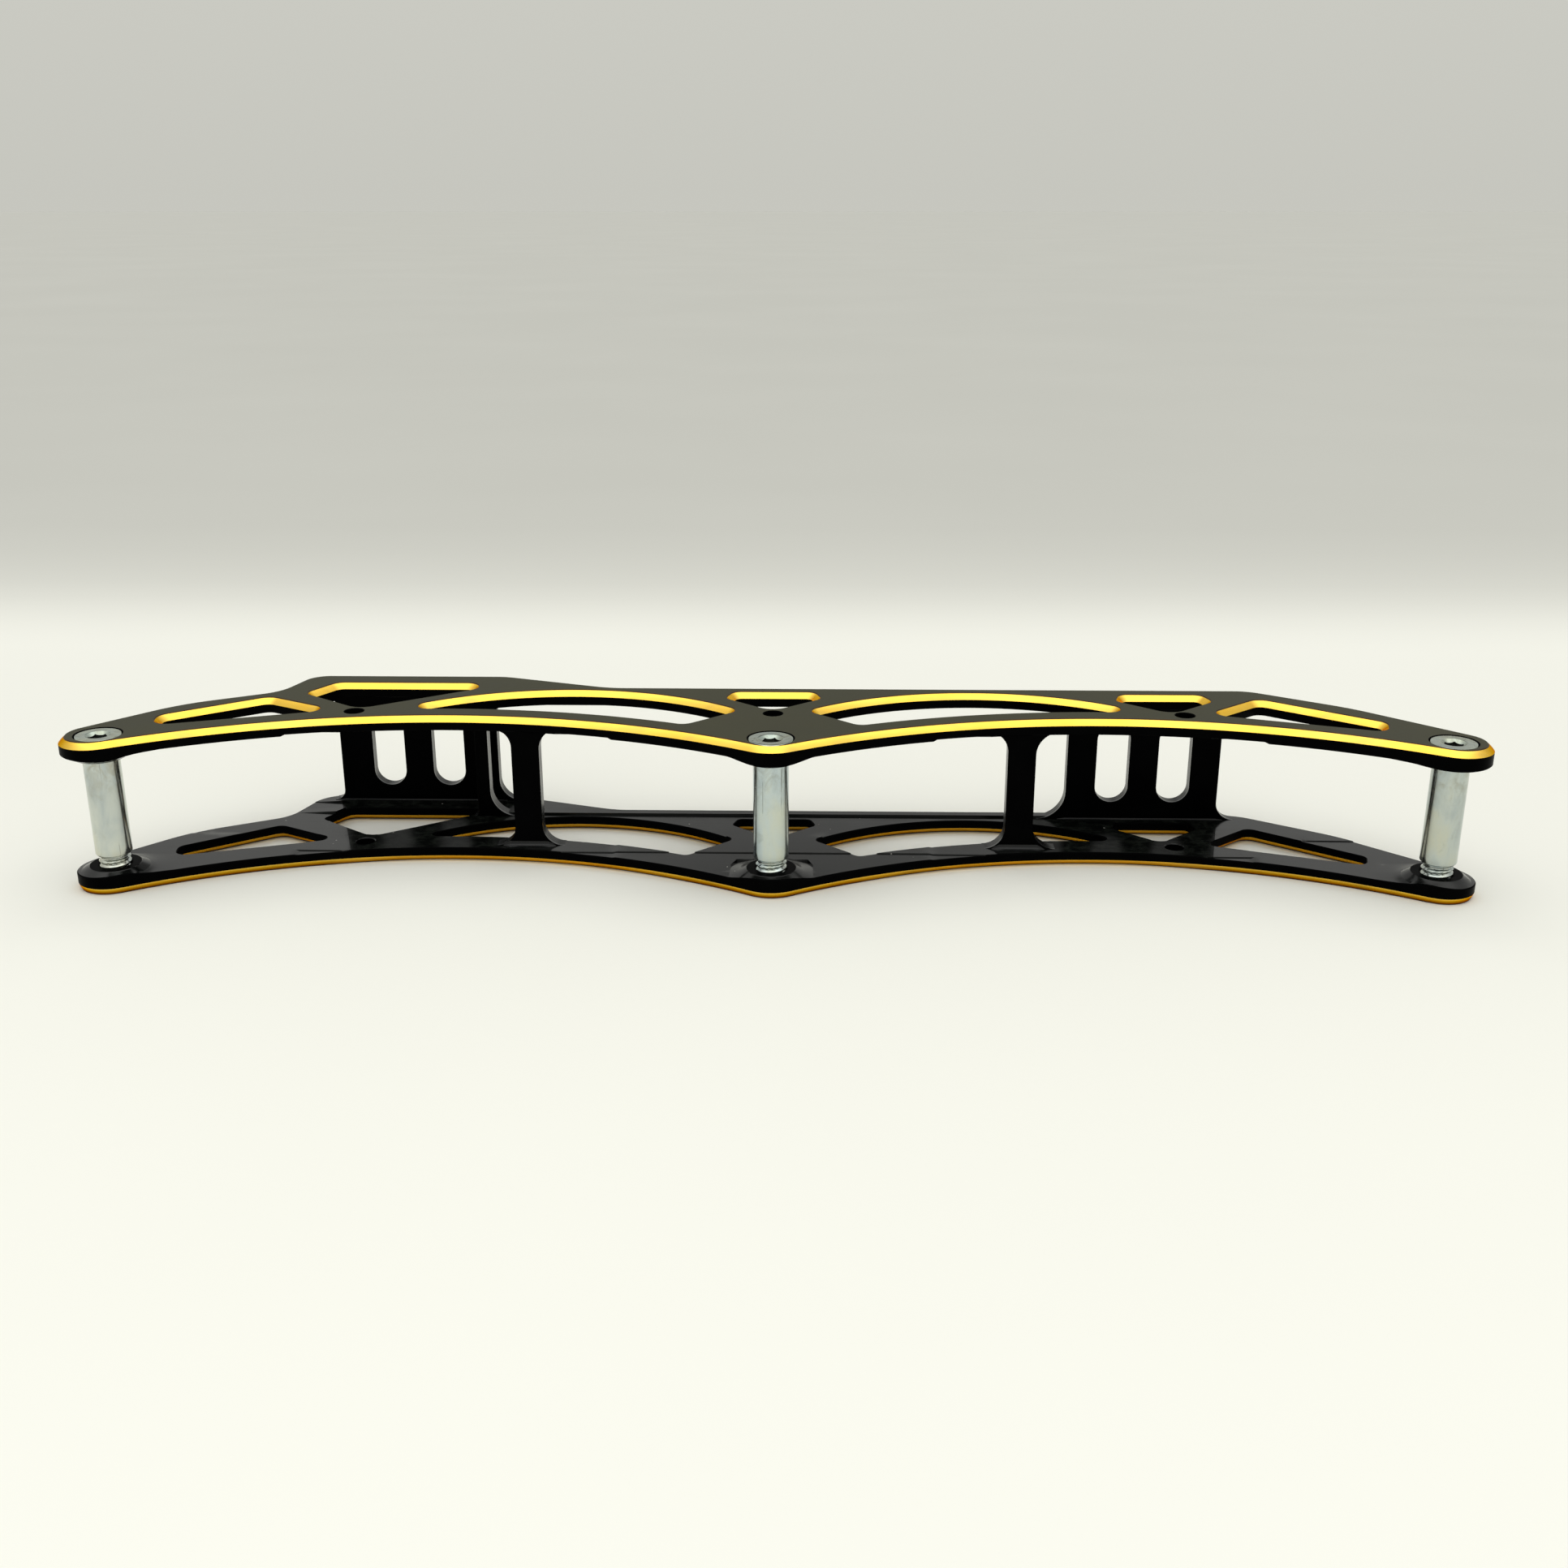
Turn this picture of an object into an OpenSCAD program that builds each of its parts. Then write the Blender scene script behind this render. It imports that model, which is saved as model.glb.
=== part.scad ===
// Inline skate frame for three wheels, lying on one side plate.
// +X points to the toe, +Y to the boot side, +Z up through the two side plates.
// The profile is drawn with the axle line at y = 0, then moved so that the
// origin sits under the centre of the bounding box.

/* [Side plates] */
// Distance between neighbouring axles
axle_pitch = 150; // [149:0.5:151]
// Overall width of the frame over both side plates
frame_w = 36; // [35:0.5:38]
// Thickness of one side plate
plate_t = 4; // [3.5:0.1:4.5]
// Height of the raised pad round each axle hole
boss_h = 1.2; // [0.8:0.1:1.6]
// Radius of the raised pad round each axle hole
boss_r = 7; // [6.4:0.1:7.2]
// Width of the edge cut round the outline and the windows
edge_cut = 1.5; // [1:0.1:1.8]
// Diameter of the small holes in the side plates
small_hole_d = 4.5; // [3:0.1:5]

/* [Mount decks] */
// Height of the toe deck's outer face above the axle line
toe_deck_y = 40.5; // [40:0.5:42]
// Height of the heel deck's outer face above the axle line
heel_deck_y = 50; // [49.5:0.5:51]
// Thickness of the decks
deck_t = 3.4; // [3:0.1:4.4]
// Spacing between the inner pair of boot slots
slot_span_inner = 165; // [164:0.5:166]
// Spacing between the outer pair of boot slots
slot_span_outer = 195; // [194:0.5:196]
// Width of a boot slot
slot_w = 8; // [7:0.1:8.4]
// Length of a boot slot, end to end
slot_l = 20; // [16:0.5:21]

/* [Braces] */
// Depth of the narrow rib in front of the heel deck
rib_t = 4; // [3.6:0.1:4.4]
// Width of a brace along the frame
brace_w = 6.5; // [5:0.1:7]
// Depth of a brace
brace_t = 4; // [3:0.1:4.4]

/* [Axle screws] */
// Diameter of the axle shaft
axle_d = 8; // [7.9:0.05:8]
// Outer diameter of the axle thread
thread_d = 7; // [6:0.1:7]
// Diameter of the axle head
head_d = 10.3; // [9.8:0.1:10.3]
// Height of the axle head
head_h = 3.2; // [2.8:0.1:3.4]
// Size of the hex socket across its flats
hex_af = 4; // [3:0.5:4]

/* [Hidden] */
$fn = 64;

fit = 0.05;            // radial running clearance round an axle
seg = 1.6;             // longest straight step along a curved edge
black = "#1c1b19";
steel = "#b9c2c6";

// near edge: two long arcs, one between each pair of axles
near_c = [axle_pitch / 2, -118];
near_r = 133;
// rounded ends and the lobe round the middle axle, tangent to the long arcs
end_c = [axle_pitch + 1, 0.5];
end_r = norm(end_c - near_c) - near_r;
lobe_c = [0, 2.1];
lobe_r = norm(near_c - lobe_c) - near_r;
y_low = end_c.y - end_r;
y_mid = (heel_deck_y + y_low) / 2;

inner_lo = plate_t;
inner_hi = frame_w - plate_t;
axle_x = [-axle_pitch, 0, axle_pitch];
// slightly larger collar under the axle head, guided by the upper plate
collar_d = axle_d + 0.6;
collar_z = inner_hi - boss_h - 0.4;

// ---- paths made of arcs -------------------------------------------------
// An arc is [cx, cy, radius, start angle, end angle]. Straight runs are what
// lies between the end of one arc and the start of the next.
function unit(v) = v / norm(v);
function ang(v) = atan2(v.y, v.x);
function turn(a, b) = (b - a + 1260) % 360 - 180;
function mirror_x(p) = [-p.x, p.y];

// the rounding of corner b between its neighbours a and c
function corner(a, b, c, r) =
    let (u = unit(a - b), w = unit(c - b), h = acos(u * w) / 2,
         m = b + unit(u + w) * (r / sin(h)),
         a0 = ang(b + u * (r / tan(h)) - m), a1 = ang(b + w * (r / tan(h)) - m))
    [m.x, m.y, r, a0, a0 + turn(a0, a1)];

function xy(v) = [v.x, v.y];
function corners(vs) =
    let (n = len(vs))
    [for (i = [0 : n - 1]) corner(xy(vs[(i + n - 1) % n]), xy(vs[i]), xy(vs[(i + 1) % n]), vs[i].z)];

// points along a path, moved inwards by d
function path(arcs, d = 0) =
    [for (A = arcs)
        let (da = A[4] - A[3], R = da > 0 ? A[2] - d : A[2] + d,
             n = max(3, ceil(abs(da) * A[2] * PI / 180 / seg)))
        for (i = [0 : n]) let (t = A[3] + da * i / n) [A[0] + R * cos(t), A[1] + R * sin(t)]];

// angle at which a line from point p touches a circle
function touch(c, r, p, side) = ang(p - c) + side * acos(r / norm(p - c));

// point at distance r0 from c0 and r1 from c1
function meet(c0, r0, c1, r1, side) =
    let (D = norm(c1 - c0), e = unit(c1 - c0), k = (D * D + r0 * r0 - r1 * r1) / (2 * D),
         h = sqrt(r0 * r0 - k * k))
    c0 + e * k + side * h * [-e.y, e.x];

// ---- side plate outline -------------------------------------------------
toe_bend = [135.5, 26.5];
toe_top = [114.3, toe_deck_y];
step_low = [-40, toe_deck_y];
step_high = [-67, heel_deck_y];
heel_top = [-116, heel_deck_y];
heel_notch = [-120.5, 35.5];
heel_bend = [-140.5, 24.6];

toe_touch = touch(end_c, end_r, toe_bend, -1);
heel_touch = touch(mirror_x(end_c), end_r, heel_bend, 1);
toe_tangent = end_c + end_r * [cos(toe_touch), sin(toe_touch)];
heel_tangent = mirror_x(end_c) + end_r * [cos(heel_touch), sin(heel_touch)];
near_end = ang(near_c - end_c);
near_lobe = ang(near_c - lobe_c);

outline_arcs = [
    [-end_c.x, end_c.y, end_r, heel_touch, heel_touch + (180 - near_end - heel_touch + 720) % 360],
    [-near_c.x, near_c.y, near_r, -near_end, -near_lobe],
    [lobe_c.x, lobe_c.y, lobe_r, 180 - near_lobe, 360 + near_lobe],
    [near_c.x, near_c.y, near_r, 180 + near_lobe, 180 + near_end],
    [end_c.x, end_c.y, end_r, near_end, toe_touch],
    corner(toe_tangent, toe_bend, toe_top, 50),
    corner(toe_bend, toe_top, step_low, 12),
    corner(toe_top, step_low, step_high, 20),
    corner(step_low, step_high, heel_top, 12),
    corner(step_high, heel_top, heel_notch, 7),
    corner(heel_top, heel_notch, heel_bend, 9),
    corner(heel_notch, heel_bend, heel_tangent, 40)
];

// ---- windows: [x, y, corner radius] of the edge on the outer face -------
heel_end_window = corners([[-141.1, 6.65, 4], [-101.2, 19.8, 3.2], [-120.8, 30.9, 4], [-142.3, 15.1, 4]]);
heel_deck_window = corners([[-113.7, 33.5, 3], [-97, 20.6, 5], [-63.8, 43.5, 3.8], [-108, 43.5, 4]]);
function small_window(x, y) =
    corners([[x - 11.8, y + 31, 3], [x, y + 20.6, 4.5], [x + 11.8, y + 31, 3], [x + 9.9, y + 37, 3], [x - 9.9, y + 37, 3]]);
toe_end_window = corners([[99.4, 19.9, 3.2], [138.2, 6.8, 3.5], [140.4, 14.3, 3.5], [115, 33.3, 4]]);

// long curved windows beside the middle axle, each from the centre of its far arc
far_r = 58;
bar_r = 139;
tip_r = 3.2;
function long_window(far_c) =
    let (tip_out = meet(far_c, far_r - tip_r, near_c, bar_r + tip_r, 1),
         tip_in = [12, far_c.y + sqrt(pow(far_r - tip_r, 2) - pow(far_c.x - 12, 2))],
         tip_low = [20.5, near_c.y + sqrt(pow(bar_r + tip_r, 2) - pow(near_c.x - 20.5, 2))],
         side_n = ang(tip_low - tip_in) - 90,
         bar_out = ang(tip_out - near_c), bar_in = ang(tip_low - near_c),
         far_out = ang(tip_out - far_c), far_in = ang(tip_in - far_c))
    [[near_c.x, near_c.y, bar_r, bar_in, bar_out],
     [tip_out.x, tip_out.y, tip_r, bar_out - 180, far_out],
     [far_c.x, far_c.y, far_r, far_out, far_in],
     [tip_in.x, tip_in.y, tip_r, far_in, far_in + (side_n - far_in + 720) % 360],
     [tip_low.x, tip_low.y, tip_r, side_n, side_n + (bar_in + 180 - side_n + 720) % 360]];

small_holes = [[-97.5, 18.8], [0, 18.6], [95, 18.8]];

module plate_profile() {
    difference() {
        polygon(path(outline_arcs));
        for (w = [heel_end_window, heel_deck_window, small_window(-0.2, 0), small_window(92.4, -0.8), toe_end_window, long_window([47, -21])])
            polygon(path(w, edge_cut));
        mirror([1, 0]) polygon(path(long_window([48.1, -20]), edge_cut));
    }
}

// one side plate with its outer face at z = 0 and its pads on top
module side_plate() {
    difference() {
        union() {
            linear_extrude(plate_t) plate_profile();
            for (x = axle_x) intersection() {
                translate([x, 0, plate_t]) cylinder(r = boss_r, h = boss_h);
                linear_extrude(frame_w) polygon(path(outline_arcs));
            }
        }
        for (p = small_holes) translate([p.x, p.y, -1]) cylinder(d = small_hole_d, h = plate_t + 2);
    }
}

module place() { translate([0, -y_mid, 0]) children(); }

module lower_side_plate() {
    color(black) place() difference() {
        side_plate();
        for (x = axle_x) translate([x, 0, -1]) cylinder(d = thread_d + 2 * fit, h = plate_t + boss_h + 2);
    }
}

module upper_side_plate() {
    color(black) place() difference() {
        translate([0, 0, frame_w]) mirror([0, 0, 1]) side_plate();
        for (x = axle_x) {
            translate([x, 0, inner_hi - boss_h - 1]) cylinder(d = collar_d + 2 * fit, h = plate_t + boss_h + 2);
            translate([x, 0, frame_w - head_h - fit - 0.1]) cylinder(d = head_d + 4 * fit, h = head_h + 2);
        }
    }
}

// a web between the two plates: x0 to x1, outer face at y1, rounded into the
// plates with radius ra on its x0 side and rb on its x1 side
module web_profile(x0, x1, ra, rb) {
    translate([x0, inner_lo]) square([x1 - x0, inner_hi - inner_lo]);
    for (z = [0, 1]) translate([0, z * (inner_lo + inner_hi)]) mirror([0, z]) {
        difference() {
            translate([x0 - ra, inner_lo]) square(ra);
            translate([x0 - ra, inner_lo + ra]) circle(r = ra);
        }
        difference() {
            translate([x1, inner_lo]) square(rb);
            translate([x1 + rb, inner_lo + rb]) circle(r = rb);
        }
    }
}

module slot_profile(x) {
    for (s = [-1, 1]) translate([x, frame_w / 2 + s * (slot_l - slot_w) / 2]) circle(d = slot_w);
    translate([x - slot_w / 2, (frame_w - slot_l + slot_w) / 2]) square([slot_w, slot_l - slot_w]);
}

module web(x0, x1, y1, t, ra, rb, slots = []) {
    intersection() {
        translate([0, y1, 0]) rotate([90, 0, 0]) linear_extrude(t) difference() {
            web_profile(x0, x1, ra, rb);
            for (x = slots) slot_profile(x);
        }
        linear_extrude(frame_w) polygon(path(outline_arcs));
    }
}

module heel_mount_deck() {
    color(black) place()
        web(-109.6, -70, heel_deck_y, deck_t, 2.5, 5.5, [-slot_span_outer / 2, -slot_span_inner / 2]);
}

module heel_inner_rib() {
    color(black) place() web(-73.7, -70.5, toe_deck_y, rib_t, 1, 6.5);
}

module toe_mount_deck() {
    color(black) place()
        web(71.4, 108.5, toe_deck_y, deck_t, 7, 4.5, [slot_span_inner / 2, slot_span_outer / 2]);
}

module heel_brace() {
    color(black) place() web(-54.5 - brace_w, -54.5, 20.5, brace_t, 4.5, 5);
}

module toe_brace() {
    color(black) place() web(54.5, 54.5 + brace_w, 20.5, brace_t, 5, 5.5);
}

module axle(x) {
    shoulder = plate_t + boss_h + 2.4;
    top = frame_w - 0.1;
    color(steel) place() translate([x, 0, 0]) difference() {
        union() {
            translate([0, 0, 0.4]) cylinder(d = thread_d, h = shoulder);
            translate([0, 0, shoulder]) cylinder(d = axle_d, h = top - head_h - shoulder);
            translate([0, 0, collar_z]) cylinder(d = collar_d, h = top - head_h - collar_z);
            translate([0, 0, top - head_h]) cylinder(d = head_d, h = head_h);
        }
        translate([0, 0, top - 2.4]) cylinder(d = hex_af / cos(30), h = 4, $fn = 6);
        translate([0, 0, top - 0.6]) cylinder(d1 = hex_af, d2 = hex_af + 1.4, h = 0.7);
    }
}

module axle_heel() { axle(-axle_pitch); }
module axle_middle() { axle(0); }
module axle_toe() { axle(axle_pitch); }

upper_side_plate();
lower_side_plate();
heel_mount_deck();
heel_inner_rib();
toe_mount_deck();
heel_brace();
toe_brace();
axle_heel();
axle_middle();
axle_toe();
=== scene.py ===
"""Looks of an inline skate frame: two milled side plates, slotted decks, braces and three axle screws."""
import math

import bmesh
import bpy
import numpy as np
from mathutils import Matrix, Vector
from mathutils.geometry import delaunay_2d_cdt


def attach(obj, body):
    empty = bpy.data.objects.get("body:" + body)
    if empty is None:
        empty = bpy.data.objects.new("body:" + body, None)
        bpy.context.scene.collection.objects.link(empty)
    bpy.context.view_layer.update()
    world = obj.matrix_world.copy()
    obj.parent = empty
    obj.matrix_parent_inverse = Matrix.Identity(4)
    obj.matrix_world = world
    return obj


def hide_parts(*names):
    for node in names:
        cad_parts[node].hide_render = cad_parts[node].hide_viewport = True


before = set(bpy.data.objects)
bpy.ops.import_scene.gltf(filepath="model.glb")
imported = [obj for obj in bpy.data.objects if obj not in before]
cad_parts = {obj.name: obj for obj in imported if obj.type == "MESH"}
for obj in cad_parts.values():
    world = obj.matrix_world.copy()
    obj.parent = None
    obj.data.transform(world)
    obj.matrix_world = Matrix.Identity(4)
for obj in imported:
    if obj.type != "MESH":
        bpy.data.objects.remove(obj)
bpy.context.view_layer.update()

# ---------------------------------------------------------------------------
# Sizes in millimetres, drawn with the axle line at y = 0
# ---------------------------------------------------------------------------
PITCH = 150.0
WIDTH = 36.0
CUT = 1.5
HEEL_Y, TOE_Y = 50.0, 40.5
PAD_W = 5.15
PAD_R = 5.75
NEAR_C, NEAR_R = (75.0, -118.0), 133.0
END_C = (151.0, 0.5)
LOBE_C = (0.0, 2.1)


def norm(v):
    return math.hypot(v[0], v[1])


def sub(a, b):
    return (a[0] - b[0], a[1] - b[1])


def ang(v):
    return math.degrees(math.atan2(v[1], v[0]))


END_R = norm(sub(END_C, NEAR_C)) - NEAR_R
LOBE_R = norm(sub(NEAR_C, LOBE_C)) - NEAR_R
Y_MID = (HEEL_Y + END_C[1] - END_R) / 2


def M(x, y, z):
    """A drawing point in millimetres as a point of the row frame in metres."""
    return (x * 0.001, (y - Y_MID) * 0.001, z * 0.001)


# ---------------------------------------------------------------------------
# Outlines as chains of arcs (cx, cy, radius, start angle, end angle)
# ---------------------------------------------------------------------------
def corner(a, b, c, r):
    u, w = sub(a, b), sub(c, b)
    lu, lw = norm(u), norm(w)
    u, w = (u[0] / lu, u[1] / lu), (w[0] / lw, w[1] / lw)
    h = math.acos(u[0] * w[0] + u[1] * w[1]) / 2
    s = (u[0] + w[0], u[1] + w[1])
    k = r / math.sin(h) / norm(s)
    m = (b[0] + s[0] * k, b[1] + s[1] * k)
    t = r / math.tan(h)
    a0 = ang((b[0] + u[0] * t - m[0], b[1] + u[1] * t - m[1]))
    a1 = ang((b[0] + w[0] * t - m[0], b[1] + w[1] * t - m[1]))
    return (m[0], m[1], r, a0, a0 + (a1 - a0 + 540) % 360 - 180)


def corners(vs):
    n = len(vs)
    return [corner(vs[i - 1][:2], vs[i][:2], vs[(i + 1) % n][:2], vs[i][2]) for i in range(n)]


def touch(c, r, p, side):
    d = sub(p, c)
    return ang(d) + side * math.degrees(math.acos(r / norm(d)))


def meet(c0, r0, c1, r1, side):
    d = sub(c1, c0)
    D = norm(d)
    e = (d[0] / D, d[1] / D)
    k = (D * D + r0 * r0 - r1 * r1) / (2 * D)
    h = math.sqrt(r0 * r0 - k * k)
    return (c0[0] + e[0] * k - side * h * e[1], c0[1] + e[1] * k + side * h * e[0])


def on(c, r, a):
    return (c[0] + r * math.cos(math.radians(a)), c[1] + r * math.sin(math.radians(a)))


TOE_BEND, TOE_TOP = (135.5, 26.5), (114.3, TOE_Y)
STEP_LOW, STEP_HIGH = (-40.0, TOE_Y), (-67.0, HEEL_Y)
HEEL_TOP, HEEL_NOTCH, HEEL_BEND = (-116.0, HEEL_Y), (-120.5, 35.5), (-140.5, 24.6)
HEEL_C = (-END_C[0], END_C[1])
toe_touch = touch(END_C, END_R, TOE_BEND, -1)
heel_touch = touch(HEEL_C, END_R, HEEL_BEND, 1)
near_end = ang(sub(NEAR_C, END_C))
near_lobe = ang(sub(NEAR_C, LOBE_C))
toe_tangent = on(END_C, END_R, toe_touch)
heel_tangent = on(HEEL_C, END_R, heel_touch)

OUTLINE = [
    (HEEL_C[0], HEEL_C[1], END_R - 0.05, heel_touch, heel_touch + (180 - near_end - heel_touch + 720) % 360),
    (-NEAR_C[0], NEAR_C[1], NEAR_R, -near_end, -near_lobe),
    (LOBE_C[0], LOBE_C[1], LOBE_R, 180 - near_lobe, 360 + near_lobe),
    (NEAR_C[0], NEAR_C[1], NEAR_R, 180 + near_lobe, 180 + near_end),
    (END_C[0], END_C[1], END_R - 0.05, near_end, toe_touch),
    corner(toe_tangent, TOE_BEND, TOE_TOP, 50),
    corner(TOE_BEND, TOE_TOP, STEP_LOW, 12),
    corner(TOE_TOP, STEP_LOW, STEP_HIGH, 20),
    corner(STEP_LOW, STEP_HIGH, HEEL_TOP, 12),
    corner(STEP_HIGH, HEEL_TOP, HEEL_NOTCH, 7),
    corner(HEEL_TOP, HEEL_NOTCH, HEEL_BEND, 9),
    corner(HEEL_NOTCH, HEEL_BEND, heel_tangent, 40),
]


def small_window(x, y):
    return corners([(x - 11.8, y + 31, 3), (x, y + 20.6, 4.5), (x + 11.8, y + 31, 3), (x + 9.9, y + 37, 3), (x - 9.9, y + 37, 3)])


def long_window(far_c):
    far_r, bar_r, tip = 58.0, 139.0, 3.2
    out = meet(far_c, far_r - tip, NEAR_C, bar_r + tip, 1)
    inn = (12.0, far_c[1] + math.sqrt((far_r - tip) ** 2 - (far_c[0] - 12.0) ** 2))
    low = (20.5, NEAR_C[1] + math.sqrt((bar_r + tip) ** 2 - (NEAR_C[0] - 20.5) ** 2))
    side = ang(sub(low, inn)) - 90
    b_out, b_in = ang(sub(out, NEAR_C)), ang(sub(low, NEAR_C))
    f_out, f_in = ang(sub(out, far_c)), ang(sub(inn, far_c))
    return [
        (NEAR_C[0], NEAR_C[1], bar_r, b_in, b_out),
        (out[0], out[1], tip, b_out - 180, f_out),
        (far_c[0], far_c[1], far_r, f_out, f_in),
        (inn[0], inn[1], tip, f_in, f_in + (side - f_in + 720) % 360),
        (low[0], low[1], tip, side, side + (b_in + 180 - side + 720) % 360),
    ]


def mirrored(arcs):
    return [(-cx, cy, r, 180 - a1, 180 - a0) for cx, cy, r, a0, a1 in reversed(arcs)]


WINDOWS = [
    corners([(-141.1, 6.65, 4), (-101.2, 19.8, 3.2), (-120.8, 30.9, 4), (-142.3, 15.1, 4)]),
    corners([(-113.7, 33.5, 3), (-97, 20.6, 5), (-63.8, 43.5, 3.8), (-108, 43.5, 4)]),
    mirrored(long_window((48.1, -20.0))),
    small_window(-0.2, 0),
    long_window((47.0, -21.0)),
    small_window(92.4, -0.8),
    corners([(99.4, 19.9, 3.2), (138.2, 6.8, 3.5), (140.4, 14.3, 3.5), (115, 33.3, 4)]),
]
SMALL_HOLES = [(-97.5, 18.8), (0.0, 18.6), (95.0, 18.8)]
AXLES = (-PITCH, 0.0, PITCH)


def ring(arcs, d=0.0, step=0.9):
    """Points along a chain of arcs, moved inwards by d. The count doesn't depend on d."""

    def arc_points(A, d):
        cx, cy, r, a0, a1 = A
        da = a1 - a0
        R = r - d if da > 0 else r + d
        n = max(4, math.ceil(abs(da) * r * math.pi / 180 / step), math.ceil(abs(da) / 6))
        return [(cx + R * math.cos(math.radians(a0 + da * i / n)), cy + R * math.sin(math.radians(a0 + da * i / n))) for i in range(n + 1)]

    base = [arc_points(A, 0.0) for A in arcs]
    moved = [arc_points(A, d) for A in arcs]
    pts = []
    for i in range(len(arcs)):
        j = (i + 1) % len(arcs)
        gap = norm(sub(base[j][0], base[i][-1]))
        if gap < 0.02:
            pts += moved[i][:-1]
            continue
        pts += moved[i]
        m = int(gap / (step * 1.2))
        p, q = moved[i][-1], moved[j][0]
        pts += [(p[0] + (q[0] - p[0]) * k / m, p[1] + (q[1] - p[1]) * k / m) for k in range(1, m)]
    return pts


def circle(cx, cy, r, n=48):
    return [(cx + r * math.cos(2 * math.pi * i / n), cy + r * math.sin(2 * math.pi * i / n)) for i in range(n)]


def inset(loop, d):
    """A counter-clockwise loop moved inwards by d, with mitred corners."""
    n, out = len(loop), []
    for i in range(n):
        a, b, c = loop[i - 1], loop[i], loop[(i + 1) % n]
        e0, e1 = sub(b, a), sub(c, b)
        l0, l1 = norm(e0), norm(e1)
        n0, n1 = (-e0[1] / l0, e0[0] / l0), (-e1[1] / l1, e1[0] / l1)
        k = d / max(0.35, 1 + n0[0] * n1[0] + n0[1] * n1[1])
        out.append((b[0] + (n0[0] + n1[0]) * k, b[1] + (n0[1] + n1[1]) * k))
    return out


# ---------------------------------------------------------------------------
# Plane triangulation with holes
# ---------------------------------------------------------------------------
def in_loop(P, loop):
    """Which points lie inside a closed loop."""
    L = np.asarray(loop, float)
    x0, y0 = L[:, 0], L[:, 1]
    x1, y1 = np.roll(x0, -1), np.roll(y0, -1)
    res = np.zeros(len(P), bool)
    for s in range(0, len(P), 2000):
        px, py = P[s : s + 2000, 0][:, None], P[s : s + 2000, 1][:, None]
        cross = (y0 > py) != (y1 > py)
        with np.errstate(divide="ignore", invalid="ignore"):
            xi = x0 + (py - y0) * (x1 - x0) / (y1 - y0)
        res[s : s + 2000] = (np.sum(cross & (px < xi), axis=1) % 2) == 1
    return res


def in_domain(P, loops):
    P = np.asarray(P, float).reshape(-1, 2)
    ok = in_loop(P, loops[0])
    for h in loops[1:]:
        ok &= ~in_loop(P, h)
    return ok


def edge_distance(P, loops):
    """Distance of each point to the nearest loop edge."""
    P = np.asarray(P, float).reshape(-1, 2)
    A = np.concatenate([np.asarray(l, float) for l in loops])
    B = np.concatenate([np.roll(np.asarray(l, float), -1, axis=0) for l in loops])
    d = B - A
    dd = np.sum(d * d, axis=1)
    res = np.zeros(len(P))
    for s in range(0, len(P), 1000):
        q = P[s : s + 1000]
        t = np.clip(((q[:, None, 0] - A[:, 0]) * d[:, 0] + (q[:, None, 1] - A[:, 1]) * d[:, 1]) / dd, 0, 1)
        ex = q[:, None, 0] - A[:, 0] - t * d[:, 0]
        ey = q[:, None, 1] - A[:, 1] - t * d[:, 1]
        res[s : s + 1000] = np.sqrt(np.min(ex * ex + ey * ey, axis=1))
    return res


def triangulate(loops, points=(), lines=()):
    """Triangles of the area inside loops[0] and outside the others. Returns (points, triangles); the loops' points come first, in order."""
    coords, edges = [], []
    for l in loops:
        s = len(coords)
        coords += [tuple(p) for p in l]
        edges += [(s + i, s + (i + 1) % len(l)) for i in range(len(l))]
    fixed = len(coords)
    for l in lines:
        s = len(coords)
        coords += [tuple(p) for p in l]
        edges += [(s + i, s + i + 1) for i in range(len(l) - 1)]
    coords += [tuple(p) for p in points]
    vs, _, fs, orig, _, _ = delaunay_2d_cdt([Vector(c) for c in coords], edges, [], 0, 1e-5)
    place = {}
    for i, o in enumerate(orig):
        for k in o:
            if k < fixed:
                place[k] = i
    order = [place[k] for k in range(fixed)]
    rest = [i for i in range(len(vs)) if i not in set(order)]
    index = {old: new for new, old in enumerate(order + rest)}
    pts = [(vs[i].x, vs[i].y) for i in order + rest]
    tris = [[index[i] for i in f] for f in fs]
    mid = np.array([[sum(pts[i][0] for i in t) / 3, sum(pts[i][1] for i in t) / 3] for t in tris])
    tris = [t for t, k in zip(tris, in_domain(mid, loops)) if k]

    def sides(t):
        return [tuple(sorted((t[i], t[i - 1]))) for i in range(3)]

    rim = {tuple(sorted(e)): 0 for e in edges if max(e) < fixed}
    for t in tris:
        for e in sides(t):
            if e in rim:
                rim[e] += 1

    def stray(t):
        """A flat triangle on the outer side of a straight run of a loop."""
        (ax, ay), (bx, by), (cx, cy) = (pts[i] for i in t)
        return abs((bx - ax) * (cy - ay) - (cx - ax) * (by - ay)) < 1e-4 and any(rim.get(e, 0) > 1 for e in sides(t))

    return pts, [t for t in tris if not stray(t)]


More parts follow.
